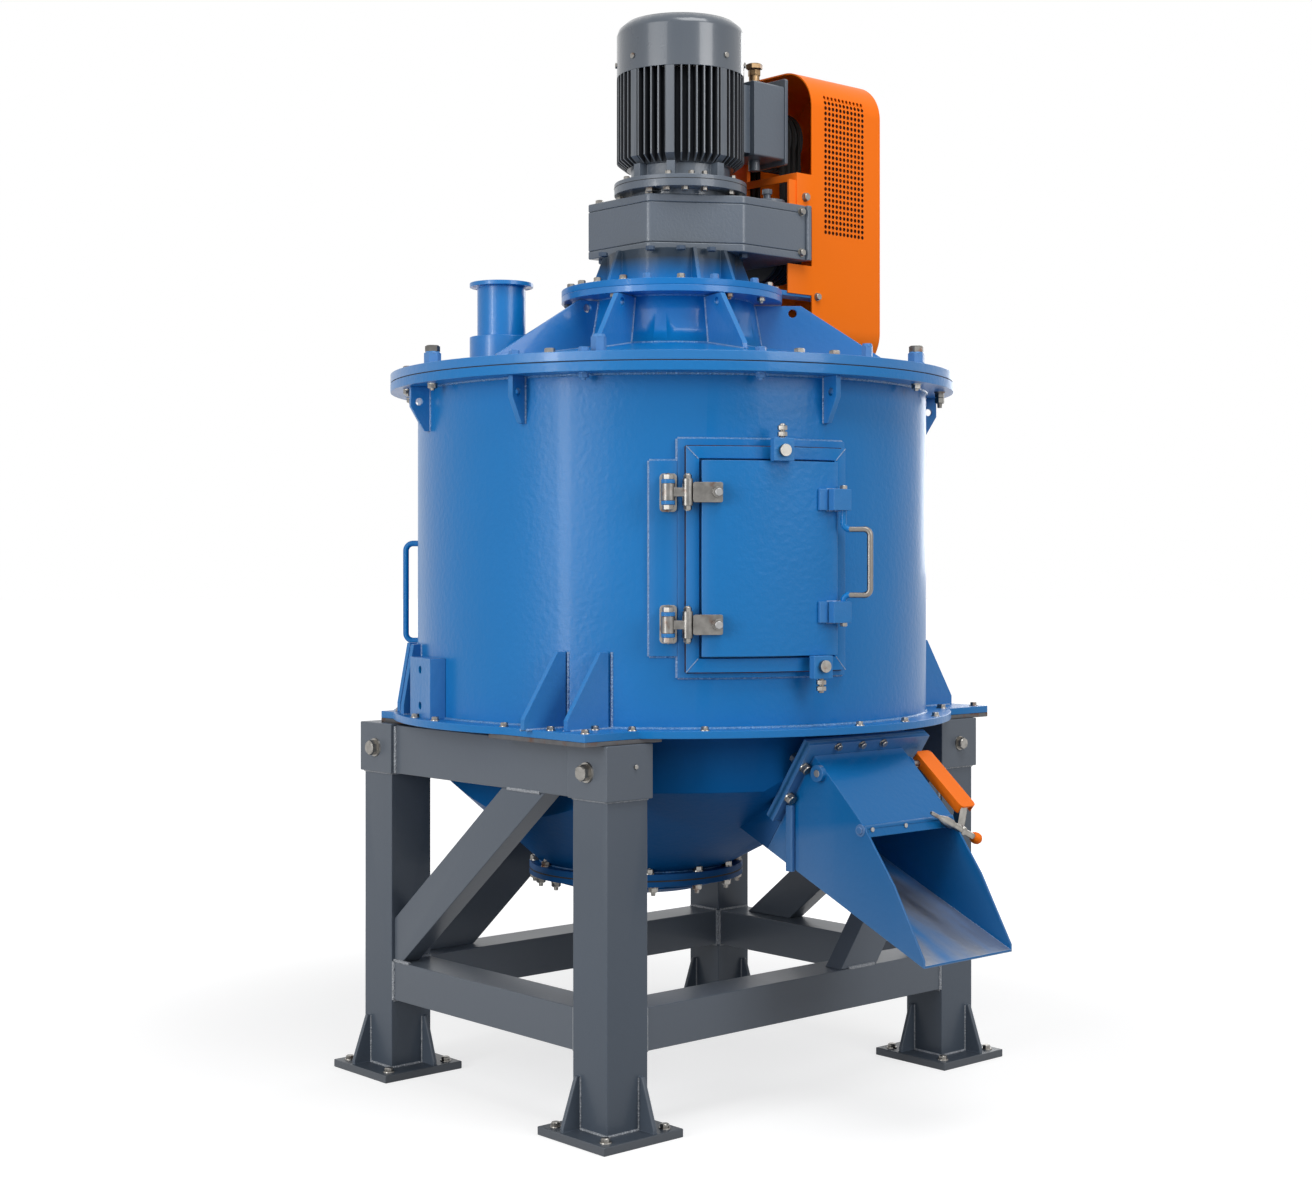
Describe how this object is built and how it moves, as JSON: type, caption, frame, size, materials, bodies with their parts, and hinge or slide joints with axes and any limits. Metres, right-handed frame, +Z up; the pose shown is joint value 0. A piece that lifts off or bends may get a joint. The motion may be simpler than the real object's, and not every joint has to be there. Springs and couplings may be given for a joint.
{
  "type": "intensive mixer",
  "caption": "Upright batch mixer: drum with hinged access door on a braced steel stand, top gear drive with guarded belts, charging pipe, and a side discharge chute with lever gate.",
  "frame": {"origin": "on the floor under the drum's axis, at the centre of the anchor bolt rectangle", "axes": "+Z up along the drum's axis, +X along the long side of the stand towards the belt guard, -Y towards the discharge chute"},
  "size_m": [1.328, 1.564, 2.48],
  "materials": {
    "blue_paint": "semi-gloss paint",
    "grey_paint": "semi-gloss paint",
    "orange_paint": "semi-gloss paint",
    "frame_paint": "semi-gloss paint",
    "bare_steel": "bright, plated or worn",
    "rotor_steel": "worn",
    "iron": "painted casting",
    "rubber": "matt",
    "knob": "gloss"
  },
  "bodies": {
    "mixer_body": {"legs": "frame_paint", "leg_caps": "frame_paint", "levelling_pads": "bare_steel", "cap_bolts": "bare_steel", "rails": "frame_paint", "braces": "frame_paint", "hopper": "blue_paint", "seals": "rubber", "outlet_cover": "blue_paint", "discharge_chute": "blue_paint", "mouth_flanges": "blue_paint", "drum_base_flange": "blue_paint", "foot_gussets": "blue_paint", "drum_shell": "blue_paint", "drum_top_flange": "blue_paint", "hanging_lugs": "blue_paint", "drum_handle": "blue_paint", "drum_channel": "blue_paint", "port_plates": "blue_paint", "door_frame": "blue_paint", "hinge_brackets": "bare_steel", "hinge_pins": "bare_steel", "dog_bolts": "bare_steel", "lid": "blue_paint", "lid_gussets": "blue_paint", "inlet_pipe": "blue_paint", "bearing_housing": "iron", "gearbox_neck": "blue_paint", "gearbox_case": "iron", "gearbox_covers": "iron", "gearbox_breather": "iron", "motor_flange": "iron", "motor_stator": "iron", "motor_cowl": "grey_paint", "terminal_box": "grey_paint", "terminal_box_cover": "grey_paint", "drive_belts": "rubber", "belt_guard": "orange_paint", "drive_brackets": "blue_paint", "auxiliary_motor": "grey_paint", "flange_bolts": "bare_steel"},
    "rotor": {"main_shaft": "rotor_steel", "mixing_arms": "rotor_steel", "paddles": "rotor_steel", "wall_scraper": "rotor_steel"},
    "motor_armature": {"motor_rotor": "rotor_steel"},
    "input_pulley": {"lower_pulley": "iron"},
    "driving_pulley": {"upper_pulley": "iron"},
    "door": {"door_panel": "blue_paint", "door_seal": "rubber", "hinge_arms": "bare_steel", "latch_blocks": "blue_paint"},
    "latch": {"latch_handle": "bare_steel"},
    "upper_dog": {"upper_clamp_dog": "blue_paint"},
    "lower_dog": {"lower_clamp_dog": "blue_paint"},
    "gate": {"gate_flap": "bare_steel", "gate_lever": "orange_paint", "lever_yoke": "bare_steel"},
    "lock": {"lock_rod": "bare_steel", "lock_knob": "knob"}
  },
  "joints": [
    {"name": "main_shaft_spin", "type": "hinge", "parent": "mixer_body", "child": "rotor", "pos_m": [0, 0, 1.2], "axis": [0, 0, 1], "continuous": true},
    {"name": "motor_spin", "type": "hinge", "parent": "mixer_body", "child": "motor_armature", "pos_m": [0.028, 0, 2.2], "axis": [0, 0, 1], "continuous": true},
    {"name": "input_pulley_spin", "type": "hinge", "parent": "mixer_body", "child": "input_pulley", "pos_m": [0.39, 0.065, 1.967], "axis": [1, 0, 0], "continuous": true},
    {"name": "driving_pulley_spin", "type": "hinge", "parent": "mixer_body", "child": "driving_pulley", "pos_m": [0.39, 0.065, 2.25], "axis": [1, 0, 0], "continuous": true},
    {"name": "door_hinge", "type": "hinge", "parent": "mixer_body", "child": "door", "pos_m": [-0.44164, -0.47692, 1.196], "axis": [0, 0, -1], "range_deg": [0, 115]},
    {"name": "latch_turn", "type": "hinge", "parent": "door", "child": "latch", "pos_m": [-0.09486, -0.64649, 1.2], "axis": [0, 0, -1], "range_deg": [0, 90]},
    {"name": "upper_dog_turn", "type": "hinge", "parent": "mixer_body", "child": "upper_dog", "pos_m": [-0.23389, -0.59681, 1.421], "axis": [-0.3649, -0.9311, 0], "range_deg": [0, 180]},
    {"name": "lower_dog_turn", "type": "hinge", "parent": "mixer_body", "child": "lower_dog", "pos_m": [-0.14746, -0.62381, 0.97], "axis": [-0.23, -0.9732, 0], "range_deg": [0, 180]},
    {"name": "gate_turn", "type": "hinge", "parent": "mixer_body", "child": "gate", "pos_m": [0.02, -0.612, 0.742], "axis": [-1, 0, 0], "range_deg": [0, 75]},
    {"name": "lock_rod_slide", "type": "slide", "parent": "gate", "child": "lock", "axis": [0, -0.9494, -0.314], "range_m": [0, 0.02]}
  ],
  "couplings": [
    {"joint": "motor_spin", "follows": "main_shaft_spin", "ratio": 18},
    {"joint": "input_pulley_spin", "follows": "main_shaft_spin", "ratio": 9},
    {"joint": "driving_pulley_spin", "follows": "main_shaft_spin", "ratio": 9}
  ]
}
